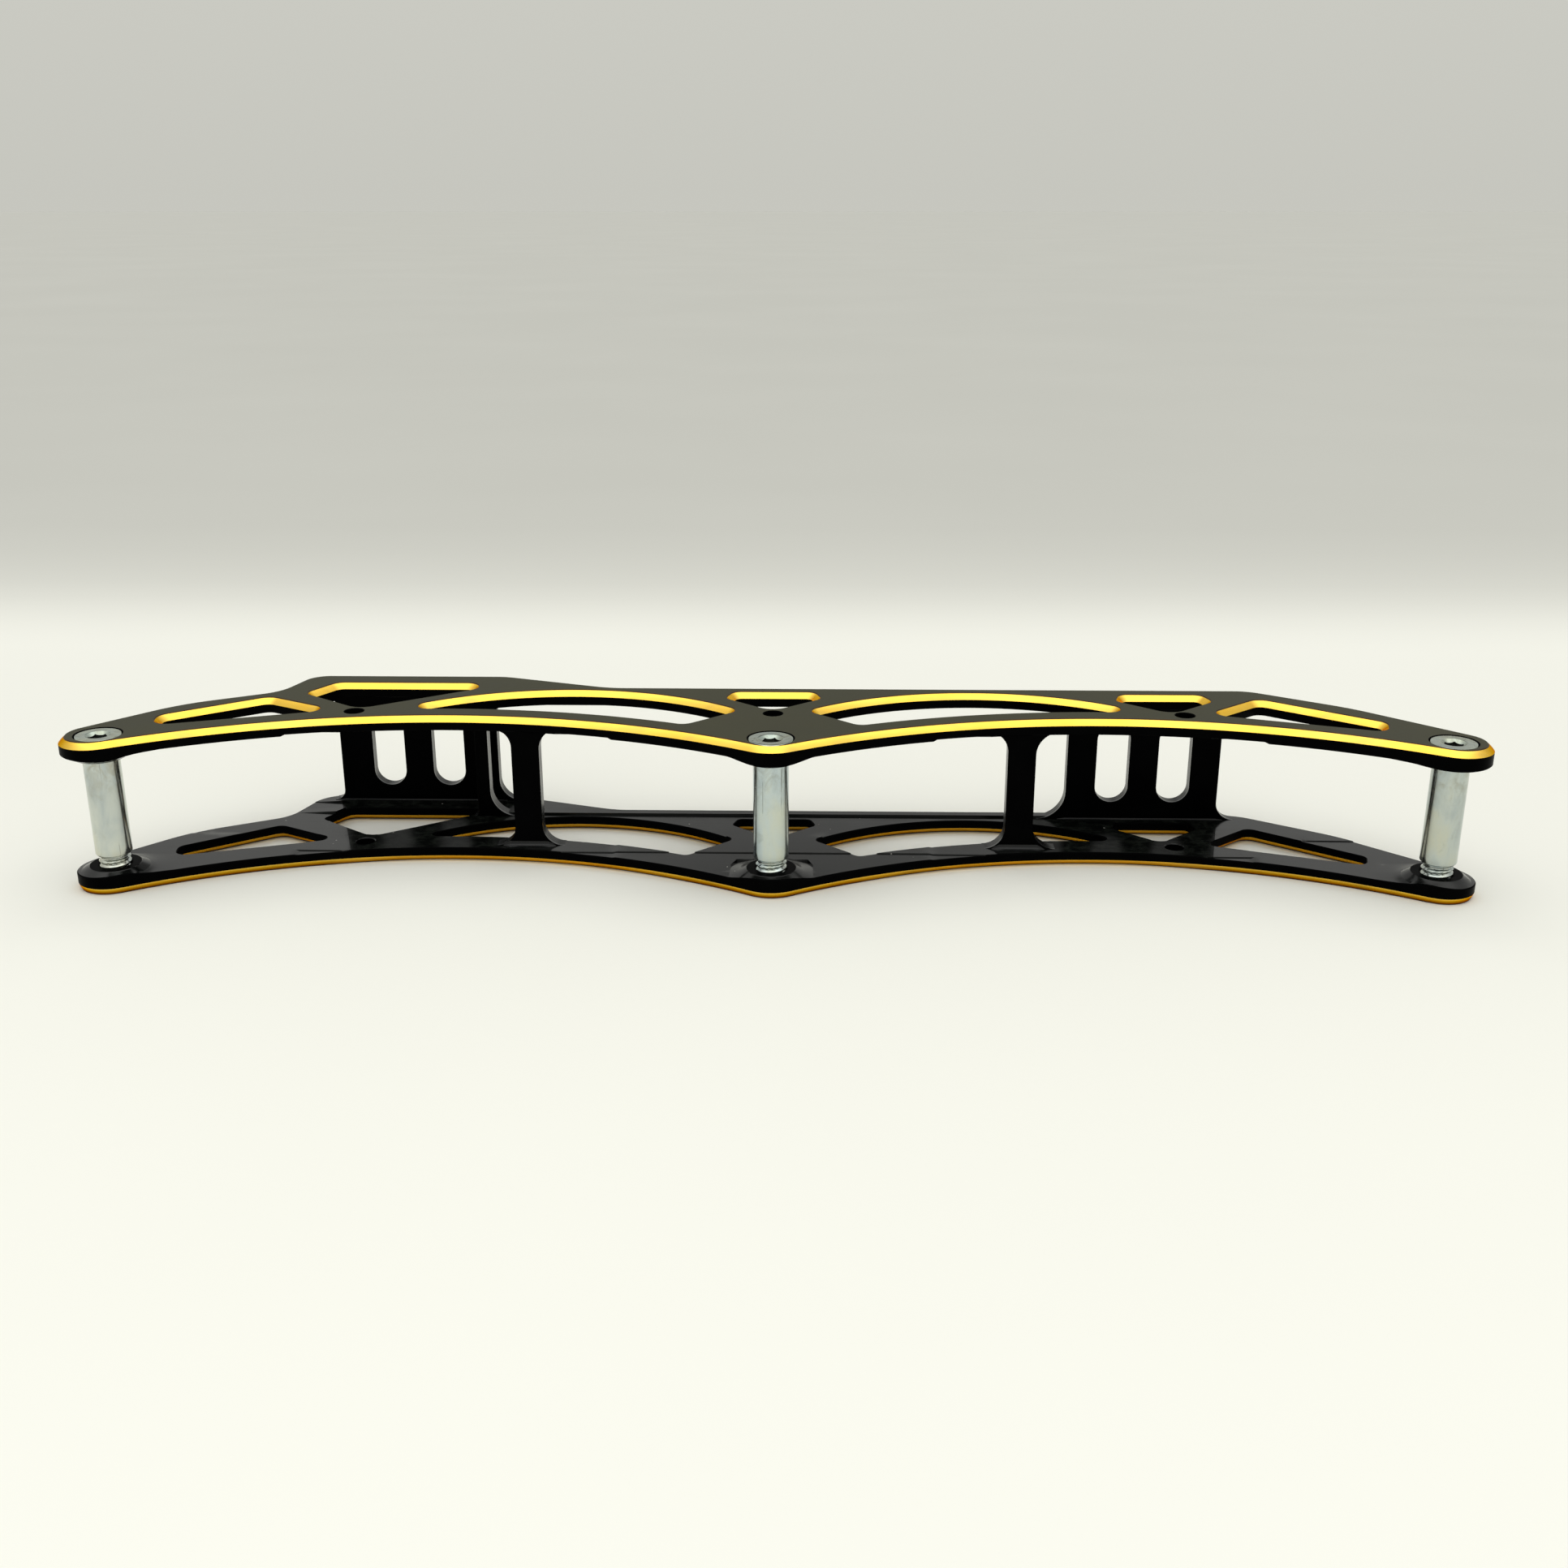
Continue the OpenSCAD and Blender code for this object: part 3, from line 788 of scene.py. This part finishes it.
def inner_features(loops):
    """Crease lines and support points of the inner face, kept clear of its boundary."""
    lines, points = [], []

    def near_pad(x, y, g=0.25):
        for a in AXLES:
            r = math.hypot(x - a, y)
            if a == 0 and r < 14.5 and in_mid(x, y, g):
                return True
            if a != 0 and r < 13.5 + g and y < 9.2 + g:
                return True
        return False

    def add_line(pts, pad_ok=False, margin=0.16):
        P = np.array(pts)
        ok = in_domain(P, loops) & (edge_distance(P, loops) > margin)
        if not pad_ok:
            ok &= ~np.array([near_pad(x, y) for x, y in pts])
        lines.extend(runs(pts, ok))

    for y in BREAK_Y:
        add_line(sample((-160, y), (160, y), 1.7), margin=0.05)
    for x in BREAK_X:
        add_line(sample((x, -5), (x, LINE_D), 0.7), margin=0.05)
    for x in (VALLEY_END, VALLEY_END + 0.5):
        add_line(sample((x, VALLEY - 0.3), (x, 50), 0.7), margin=0.05)
    for a, b in (DULL_HEEL, DULL_TOE, ((-58.0, 8), (-58.0, 24)), ((58.0, 8), (58.0, 24)), ((VALLEY_END, 24), (VALLEY_END, VALLEY - 1.0))):
        add_line(sample(a, b, 0.7), margin=0.1)
    # middle pocket
    for g in (0.0, 0.1):
        q = [(-9.4 - g, -6), (-9.4 - g, 5.6 + g * 0.3), (-8.2 - g * 0.7, 8.9 + g), (8.2 + g * 0.7, 8.9 + g), (9.4 + g, 5.6 + g * 0.3), (9.4 + g, -6)]
        pts = []
        for i in range(len(q) - 1):
            pts += sample(q[i], q[i + 1], 0.6)[: None if i == len(q) - 2 else -1]
        add_line(pts, True)
    # end pockets
    for s in (-1, 1):
        for g in (0.0, 0.1):
            add_line(sample((s * 140.3, 9.2 + g), (s * 158, 9.2 + g), 0.6), True)
    # pads and cones
    for a in AXLES:
        for r in (PAD_R - 0.1, PAD_R):
            pts = circle(a, 0, r, 80)
            P = np.array(pts)
            ok = in_domain(P, loops) & (edge_distance(P, loops) > 0.12)
            if ok.all():
                lines.append(pts + [pts[0]])
            else:
                k = int(np.argmin(ok))
                lines.extend(runs(pts[k:] + pts[:k], list(ok[k:]) + list(ok[:k])))
        radii = (6.3, 6.9, 7.5, 8.2, 9.0, 9.9, 10.8, 11.7, 12.6) if a == 0 else (6.3, 6.9, 7.5, 8.2, 9.0, 9.7, 10.4, 11.4, 12.4, 13.4)
        cand = []
        for r in radii:
            n = 80
            for k in range(n):
                t = 2 * math.pi * k / n
                x, y = a + r * math.cos(t), r * math.sin(t)
                if (a == 0 and in_mid(x, y, -0.15)) or (a != 0 and y < 9.05):
                    cand.append((x, y))
        P = np.array(cand)
        ok = in_domain(P, loops) & (edge_distance(P, loops) > 0.3)
        points += [p for p, k in zip(cand, ok) if k]
    # an even grid elsewhere
    cand = [(x + (0.9 if j % 2 else 0), y) for j, y in enumerate(np.arange(-7.35, 50, 2.9)) for x in np.arange(-158.3, 159, 3.3)]
    cand = [p for p in cand if not near_pad(p[0], p[1], 0.6)]
    P = np.array(cand)
    used = np.array([p for l in lines for p in l])
    ok = in_domain(P, loops) & (edge_distance(P, loops) > 0.7)
    for i in np.nonzero(ok)[0]:
        if np.min(np.sum((used - P[i]) ** 2, axis=1)) > 0.36:
            points.append((float(P[i][0]), float(P[i][1])))
    return lines, points


def split(loops):
    """Adds to every loop the points where the last one crosses a step of the inner face."""
    out = [[] for _ in loops]
    n = len(loops[-1])
    for i in range(n):
        j = (i + 1) % n
        p, q = loops[-1][i], loops[-1][j]
        ts = [(b - p[1]) / (q[1] - p[1]) for b in BREAK_Y if (p[1] - b) * (q[1] - b) < 0]
        if min(p[1], q[1]) < LINE_D:
            ts += [(b - p[0]) / (q[0] - p[0]) for b in BREAK_X if (p[0] - b) * (q[0] - b) < 0]
        ts = [0.0] + sorted(t for t in ts if 0.02 < t < 0.98)
        for o, l in zip(out, loops):
            o += [(l[i][0] + (l[j][0] - l[i][0]) * t, l[i][1] + (l[j][1] - l[i][1]) * t) for t in ts]
    return out


def side_plate(name, upper):
    ms = Mesh()

    def put(pts, ws):
        if isinstance(ws, (int, float)):
            ws = [ws] * len(pts)
        return ms.points([M(x, y, WIDTH - w if upper else w) for (x, y), w in zip(pts, ws)])

    brk = 0.22
    outer_loops, inner_loops, outer_ids, inner_ids = [], [], [], []

    def border(at, low_at=None):
        """at(d) gives the loop moved by d from the gold edge on the outer face towards the open side; low_at is for the inner face's edge."""
        # dark is the width of the edge line; on the lower plate's windows it is widened to 0.40 as painted contact
        # shade where the cut meets the floor.
        dark, rest = (0.22, (0.30, 0.52, 0.76)) if upper else (0.22 if low_at else 0.40, (0.42, 0.60, 0.80))
        crown = [(0.0, 0.0), (dark, dark)] + [(CUT * t + 0.17 * t * (1 - t), CUT * t - 0.17 * t * (1 - t)) for t in rest] + [(CUT, CUT)]
        loops = split([at(d) for d, _ in crown] + [(low_at or at)(CUT - brk)])
        low, wall = loops[-1], loops[-2]
        wi = [inner_w(x, y, upper) for x, y in low]
        rings = [put(l, w) for l, (_, w) in zip(loops, crown)]
        rings += [put(wall, [w - brk for w in wi]), put(low, wi)]
        # Material 8, on the lower plate's outline, is the gold with painted shade towards the floor.
        cut = 8 if low_at else 1
        for k, mat in enumerate((2, cut, cut, cut, cut, 3, 3)):
            ms.strip(rings[k], rings[k + 1], mat)
        outer_loops.append(loops[0])
        inner_loops.append(low)
        outer_ids.extend(rings[0])
        inner_ids.extend(rings[-1])

    def edge(d):
        return ring(OUTLINE, CUT - d)

    def steep(d):
        """The outline's loop where the cut stands steeper, at both ends and at the middle."""
        res = []
        for (x, y), (wx, wy) in zip(edge(d), edge(CUT)):
            t = min(1.0, max(0.0, abs(abs(wx) - 62.0) / 26.0 - 0.7))
            k = 1.0 - 0.6 * t * t * (3 - 2 * t)
            res.append((wx + (x - wx) * k, wy + (y - wy) * k))
        return res

    if upper:
        border(edge)
    else:
        border(steep, edge)
    for wdw in WINDOWS:
        border(lambda d, wdw=wdw: ring(wdw, d))
    for hx, hy in SMALL_HOLES:
        r0, r1 = 2.25, 2.43
        big = circle(hx, hy, r1, 40)
        wi = [inner_w(x, y, upper) for x, y in big]
        a = put(big, 0.0)
        b = put(circle(hx, hy, r0, 40), 0.18)
        c = put(circle(hx, hy, r0, 40), [w - 0.18 for w in wi])
        d = put(big, wi)
        ms.strip(a, b, 3)
        ms.strip(b, c, 3)
        ms.strip(c, d, 5)
        outer_loops.append(big)
        inner_loops.append(big)
        outer_ids.extend(a)
        inner_ids.extend(d)
    # outer face
    cand = [(x + (1.3 if j % 2 else 0), y) for j, y in enumerate(np.arange(-6.1, 50, 3.7)) for x in np.arange(-158, 159, 4.3)]
    P = np.array(cand)
    ok = in_domain(P, outer_loops) & (edge_distance(P, outer_loops) > 0.9)
    pts, tris = triangulate(outer_loops, [p for p, k in zip(cand, ok) if k])
    n = len(outer_ids)
    ms.tris(outer_ids + put(pts[n:], 0.0), tris, 0)
    # inner face
    lines, points = inner_features(inner_loops)
    pts, tris = triangulate(inner_loops, points, lines)
    n = len(inner_ids)
    ids = inner_ids + put(pts[n:], [inner_w(x, y, upper) for x, y in pts[n:]])
    mid = [(sum(pts[i][0] for i in t) / 3, sum(pts[i][1] for i in t) / 3) for t in tris]
    # Pad tops around the screws take the near-black wall finish (3): painted shade around the screw. The duller skin
    # takes 7, the rest of the inner face 4.
    mats = [3 if min(math.hypot(x - a, y) for a in AXLES) < PAD_R - 0.1 else 7 if dull(x, y) else 4 for x, y in mid]
    for m in (3, 4, 7):
        ms.tris(ids, [t for t, k in zip(tris, mats) if k == m], m)
    ob = ms.build(name, PLATE_MATS)
    cutters = []
    for i, a in enumerate(AXLES):
        if upper:
            rows = [(0, 30.0), (5.35, 30.0), (4.35, 31.0), (4.35, 32.65), (5.25, 32.65), (5.25, 35.87), (6.38, 37.0), (0, 37.0)]
        else:
            rows = [(0, -1.0), (4.85, -1.0), (3.55, 0.3)]
            z = 0.5
            while z < 4.0:
                rows += [(3.55, z), (3.55, z + 0.12), (3.86, z + 0.45), (3.86, z + 0.55), (3.55, z + 0.88)]
                z += 1.0
            rows += [(3.55, 4.85), (4.7, 6.0), (0, 6.0)]
        cutters.append(lathe("cutter_%d" % i, rows, PLATE_MATS, (a, 0.0), 96, lambda i: 3))
    combine(ob, cutters, "DIFFERENCE")
    shade(ob)
    return ob


# ---------------------------------------------------------------------------
# Webs between the plates: decks, rib and braces
# ---------------------------------------------------------------------------
def far_y(x):
    """The outline's far edge above a given x."""
    best = 60.0
    pts = FAR
    for (x0, y0), (x1, y1) in zip(pts[:-1], pts[1:]):
        if min(x0, x1) - 1e-9 <= x <= max(x0, x1) + 1e-9 and abs(x1 - x0) > 1e-9:
            best = min(best, y0 + (y1 - y0) * (x - x0) / (x1 - x0))
    return best


_full = ring(OUTLINE, 0.0, 0.5)
FAR = [p for p in _full if p[1] > 30.0 and p[0] > -117.0]


def web(name, x0, x1, y0, y1, ra, rb, slots=(), brk=0.22, rt=None):
    """A web with its front face at y0 and its back face at y1, flared into both plates."""
    lo, hi = (level((x0 + x1) / 2, y0 + 0.1, False), WIDTH - level((x0 + x1) / 2, y0 + 0.1, True))
    deep = 0.7
    rt = rt or ra

    def arc(cx, cz, r, a0, a1):
        n = max(8, int(abs(a1 - a0) / 5))
        return [(cx + r * math.cos(math.radians(a0 + (a1 - a0) * i / n)), cz + r * math.sin(math.radians(a0 + (a1 - a0) * i / n))) for i in range(n + 1)]

    loop = [(x0 - ra - 0.5, lo - deep), (x1 + rb + 0.5, lo - deep)]
    loop += arc(x1 + rb, lo + rb, rb, 270, 180)
    loop += sample((x1, lo + rb), (x1, hi - rb), 1.5)[1:-1]
    loop += arc(x1 + rb, hi - rb, rb, 180, 90)
    loop += [(x1 + rb + 0.5, hi + deep), (x0 - rt - 0.5, hi + deep)]
    loop += arc(x0 - rt, hi - rt, rt, 90, 0)
    loop += sample((x0, hi - rt), (x0, lo + ra), 1.5)[1:-1]
    loop += arc(x0 - ra, lo + ra, ra, 0, -90)
    holes = []
    for sx in slots:
        c0, c1, r = WIDTH / 2 - 6.0, WIDTH / 2 + 6.0, 4.0
        h = arc(sx, c0, r, 180, 360) + sample((sx + r, c0), (sx + r, c1), 1.2)[1:-1] + arc(sx, c1, r, 0, 180) + sample((sx - r, c1), (sx - r, c0), 1.2)[1:-1]
        holes.append(h)
    ms = Mesh()
    face_loops, front_ids, back_ids = [], [], []

    def back_y(x, y):
        return min(y, far_y(x) - 0.02 - (y1 - y))

    def put(pts, y):
        return ms.points([M(x, back_y(x, y) if y > (y0 + y1) / 2 else y, z) for x, z in pts])

    for i, l in enumerate([loop] + holes):
        near = inset(l, brk if i == 0 else -brk)
        a, b, e, c, d = put(near, y0), put(l, y0 + brk), put(l, y0 + brk + 0.55), put(l, y1 - brk), put(near, y1)
        # The strip just behind the front bevel takes material 6: a painted highlight along the front edge.
        for r0, r1, mat in ((a, b, 3), (b, e, 6), (e, c, 5), (c, d, 3)):
            ms.strip(r0, r1, mat)
        face_loops.append(near)
        front_ids.extend(a)
        back_ids.extend(d)
    cand = [(x, z) for x in np.arange(x0 - ra, x1 + rb, 2.3) for z in np.arange(lo, hi, 2.6)]
    P = np.array(cand)
    ok = in_domain(P, face_loops) & (edge_distance(P, face_loops) > 0.7)
    pts, tris = triangulate(face_loops, [p for p, k in zip(cand, ok) if k])
    n = len(front_ids)
    ms.tris(front_ids + put(pts[n:], y0), tris, 3)
    ms.tris(back_ids + put(pts[n:], y1), tris, 0)
    return ms.build(name, PLATE_MATS)


def foot(name, x0, x1, y0, upper, R=1.2):
    """A root fillet along the foot of a web's front face, tapering out at both ends."""
    ms = Mesh()
    lo = level((x0 + x1) / 2, y0 + 0.1, upper)
    sides = []
    for x, r in ((x0 - 1.8, 0.12), (x0 - 0.9, R * 0.6), (x0, R), ((x0 + x1) / 2, R), (x1, R), (x1 + 0.9, R * 0.6), (x1 + 1.8, 0.12)):
        prof = [(y0 + 0.6, lo - 0.5), (y0 - r - 0.05, lo - 0.5), (y0 - r - 0.03, lo - 0.02)]
        prof += [(y0 - r + r * math.sin(math.radians(a)), lo + r - r * math.cos(math.radians(a))) for a in range(10, 90, 10)]
        prof += [(y0 + 0.01, lo + r), (y0 + 0.6, lo + r + 0.2)]
        sides.append(ms.points([M(x, y, WIDTH - z if upper else z) for y, z in prof]))
    mat = 3 if upper else 5
    for a, b in zip(sides[:-1], sides[1:]):
        ms.strip(a, b, mat)
    for e in (sides[0], sides[-1]):
        ms.f.append(tuple(e))
        ms.m.append(mat)
    return ms.build(name, PLATE_MATS)


# ---------------------------------------------------------------------------
# Axle screws
# ---------------------------------------------------------------------------
def axle(name, x, plate):
    P, r_in, r_out = 1.25, 3.02, 3.5

    def thread(z):
        ends = clamp(z, 0.75, 1.35) * (1 - clamp(z, 6.75, 7.2))

        def r(t):
            u = (z / P - t / (2 * math.pi)) % 1.0
            if u < 0.36:
                k = u / 0.36
            elif u < 0.5:
                k = 1.0
            elif u < 0.86:
                k = 1 - (u - 0.5) / 0.36
            else:
                k = 0.0
            return r_in + (r_out - r_in) * k * ends

        return r

    rows = [(0, 0.4), (2.55, 0.4), (3.0, 0.75)]
    z = 0.83
    while z < 7.2:
        rows.append((thread(z), z))
        z += 0.08
    rows += [(3.08, 7.3), (3.08, 7.5), (3.18, 7.6), (3.5, 7.6), (3.58, 7.64), (3.96, 8.04), (4.0, 8.16)]
    rows += [(4.0, 8.16 + (30.2 - 8.16) * i / 16) for i in range(1, 17)]
    rows += [(4.02, 30.34), (4.1, 30.4), (4.24, 30.4), (4.3, 30.46), (4.3, 32.7)]
    rows += [(4.95, 32.7), (5.15, 32.9), (5.15, 35.62), (5.1, 35.72), (4.92, 35.88), (4.82, 35.9)]
    rows += [(4.82 - (4.82 - 2.86) * i / 6, 35.9) for i in range(1, 7)]
    rows += [(2.76, 35.86), (2.08, 35.2), (2.0, 35.16), (0, 35.16)]
    ob = lathe(name, rows, [plate, SOCKET_PAINTED_SHADE, HEAD], (x, 0.0), 96, lambda i: 2 if rows[i][1] >= 32.7 else 0)
    ms = Mesh()
    hexa = [(x + 4.0 / math.sqrt(3) * math.cos(math.radians(60 * k + 8)), 4.0 / math.sqrt(3) * math.sin(math.radians(60 * k + 8))) for k in range(6)]
    top, low = ms.points([M(a, b, 36.6) for a, b in hexa]), ms.points([M(a, b, 33.5) for a, b in hexa])
    tip = ms.points([M(x, 0, 33.0)])[0]
    # Material 1 on the socket walls is the darker zinc copy: painted shade inside the hex socket.
    ms.strip(top, low, 1)
    ms.f.append(tuple(top))
    ms.m.append(1)
    for k in range(6):
        ms.f.append((low[k], low[(k + 1) % 6], tip))
        ms.m.append(1)
    combine(ob, [ms.build("hex_%s" % name, [plate, SOCKET_PAINTED_SHADE, HEAD])], "DIFFERENCE")
    shade(ob, 22.0)
    return ob


# ---------------------------------------------------------------------------
# The pieces
# ---------------------------------------------------------------------------
def finish_piece(ob, body, node):
    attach(ob, body)
    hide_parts(node)


finish_piece(side_plate("upper_plate", True), "frame", "upper_side_plate")
finish_piece(side_plate("lower_plate", False), "frame", "lower_side_plate")

heel_deck = web("heel_deck", -109.6, -70.0, 46.6, 50.0, 2.5, 5.5, (-97.5, -82.5), rt=4.2)
heel_rib = web("heel_rib", -73.7, -70.5, 36.5, 40.5, 1.0, 6.5)
toe_deck = web("toe_deck", 71.4, 108.5, 37.1, 40.5, 7.0, 4.5, (82.5, 97.5))
combine(heel_deck, [foot("foot_h%d" % u, -109.6, -70.0, 46.6, bool(u), 0.3) for u in (0, 1)], "UNION")
combine(toe_deck, [foot("foot_t%d" % u, 71.4, 108.5, 37.1, bool(u), 0.4) for u in (0, 1)], "UNION")
braces = []
for s in (-1, 1):
    xa, xb = (-61.0, -54.5) if s < 0 else (54.5, 61.0)
    ra, rb = (4.5, 5.0) if s < 0 else (5.0, 5.5)
    b = web("brace_heel" if s < 0 else "brace_toe", xa, xb, 16.5, 20.5, ra, rb)
    combine(b, [foot("foot_%d_%d" % (s, u), xa - 1.2, xb + 1.2, 16.5, bool(u)) for u in (0, 1)], "UNION")
    braces.append(b)
for ob, node in ((heel_deck, "heel_mount_deck"), (heel_rib, "heel_inner_rib"), (toe_deck, "toe_mount_deck"), (braces[0], "heel_brace"), (braces[1], "toe_brace")):
    shade(ob)
    finish_piece(ob, "frame", node)

for tag, x in (("heel", -PITCH), ("middle", 0.0), ("toe", PITCH)):
    finish_piece(axle("screw_%s" % tag, x, ZINC[tag]), "%s_axle" % tag, "axle_%s" % tag)


# ---------------------------------------------------------------------------
# Stage: pale floor lit by a soft dome, with painted light and shade on it: lighter in front, a little darker at the
# frame, greying off behind it, faint shadow blotches
# ---------------------------------------------------------------------------
def stage_floor():
    ms = Mesh()
    e = 12.0
    ids = ms.points([(-e, -e, 0.0), (e, -e, 0.0), (e, e, 0.0), (-e, e, 0.0)])
    ms.f.append(tuple(ids))
    ms.m.append(0)
    n = Nodes("pale_floor")
    n.set(Roughness=0.8)
    n.bsdf.inputs["Specular IOR Level"].default_value = 0.1
    obj = n.coord.outputs["Object"]
    sep = n.t.nodes.new("ShaderNodeSeparateXYZ")
    n.link(obj, sep.inputs[0])
    lo, hi = -0.4, 2.0
    tint = (1.0, 1.0, 0.935)
    # Painted light along y: lighter in front of the frame, painted shade at and behind it, a faint bright band at 0.195
    # m, then painted shade greying the floor off further back.
    painted_light_by_y = [(-0.30, 0.92), (-0.12, 0.88), (-0.03, 0.84), (0.10, 0.83), (0.17, 0.835), (0.195, 0.84), (0.215, 0.815), (0.24, 0.76), (0.265, 0.69), (0.293, 0.63), (0.324, 0.593), (0.358, 0.565), (0.414, 0.537), (0.53, 0.522), (0.88, 0.514), (1.7, 0.508)]
    col = n.ramp(n.range(sep.outputs["Y"], 0.0, 1.0, lo, hi), [((y - lo) / (hi - lo), tuple(v * c for c in tint)) for y, v in painted_light_by_y])
    # Faint painted shadow blotches.
    soft = n.noise(obj, 4.0, 3, 0.5)
    col = n.mix(n.range(soft, 0.0, 0.06, 0.4, 0.7), col, (0.70, 0.70, 0.665))
    n.link(col, n.bsdf.inputs["Base Color"])
    ms.build("floor", [n.mat])


stage_floor()

world = bpy.data.worlds.new("studio")
world.use_nodes = True
wt = world.node_tree
coord = wt.nodes.new("ShaderNodeTexCoord")
sep = wt.nodes.new("ShaderNodeSeparateXYZ")
wt.links.new(coord.outputs["Generated"], sep.inputs[0])
dome = wt.nodes.new("ShaderNodeValToRGB")
wt.links.new(sep.outputs["Z"], dome.inputs[0])
DOME = [(0.0, 0.324), (0.10, 0.338), (0.34, 0.340), (0.50, 0.385), (0.643, 0.46), (0.766, 0.62), (0.866, 1.0), (1.0, 1.0)]
while len(dome.color_ramp.elements) < len(DOME):
    dome.color_ramp.elements.new(0.5)
for el, (z, v) in zip(dome.color_ramp.elements, DOME):
    el.position = z
    el.color = (v, v, v * (0.915 if z < 0.2 else 0.965), 1)
patch = wt.nodes.new("ShaderNodeVectorMath")
patch.operation = "DOT_PRODUCT"
wt.links.new(coord.outputs["Generated"], patch.inputs[0])
patch.inputs[1].default_value = (0.0, math.cos(math.radians(36)), math.sin(math.radians(36)))
shade_of = wt.nodes.new("ShaderNodeMapRange")
for key, v in (("From Min", 0.9615), ("From Max", 0.9758), ("To Min", 1.0), ("To Max", 0.35)):
    shade_of.inputs[key].default_value = v
wt.links.new(patch.outputs["Value"], shade_of.inputs["Value"])
shaded = wt.nodes.new("ShaderNodeVectorMath")
shaded.operation = "SCALE"
wt.links.new(dome.outputs[0], shaded.inputs[0])
wt.links.new(shade_of.outputs[0], shaded.inputs["Scale"])
sky = next(x for x in wt.nodes if x.type == "BACKGROUND")
wt.links.new(shaded.outputs[0], sky.inputs[0])
sky.inputs[1].default_value = 1.75
bpy.context.scene.world = world

# ---------------------------------------------------------------------------
# Camera
# ---------------------------------------------------------------------------
pitch, yaw, roll = math.radians(19.354), math.radians(1.172), math.radians(0.03)
rz = Matrix.Rotation(yaw, 3, "Z")
rx = Matrix.Rotation(-pitch, 3, "X")
ry = Matrix.Rotation(roll, 3, "Y")
R = rz @ rx @ ry
right, ahead, up = R.col[0], R.col[1], R.col[2]
cam_data = bpy.data.cameras.new("camera")
cam_data.sensor_width = 36.0
cam_data.lens = 36.0 * 2089.1 / 1932.0
cam_data.clip_start, cam_data.clip_end = 0.01, 20.0
cam = bpy.data.objects.new("camera", cam_data)
m = Matrix.Identity(4)
for i in range(3):
    m[i][0], m[i][1], m[i][2] = right[i], up[i], -ahead[i]
m[0][3], m[1][3], m[2][3] = 10.22 * 0.001, (-356.89 - Y_MID) * 0.001, 150.62 * 0.001
cam.matrix_world = m
bpy.context.scene.collection.objects.link(cam)
bpy.context.scene.camera = cam

bpy.context.scene.view_settings.view_transform = "Standard"
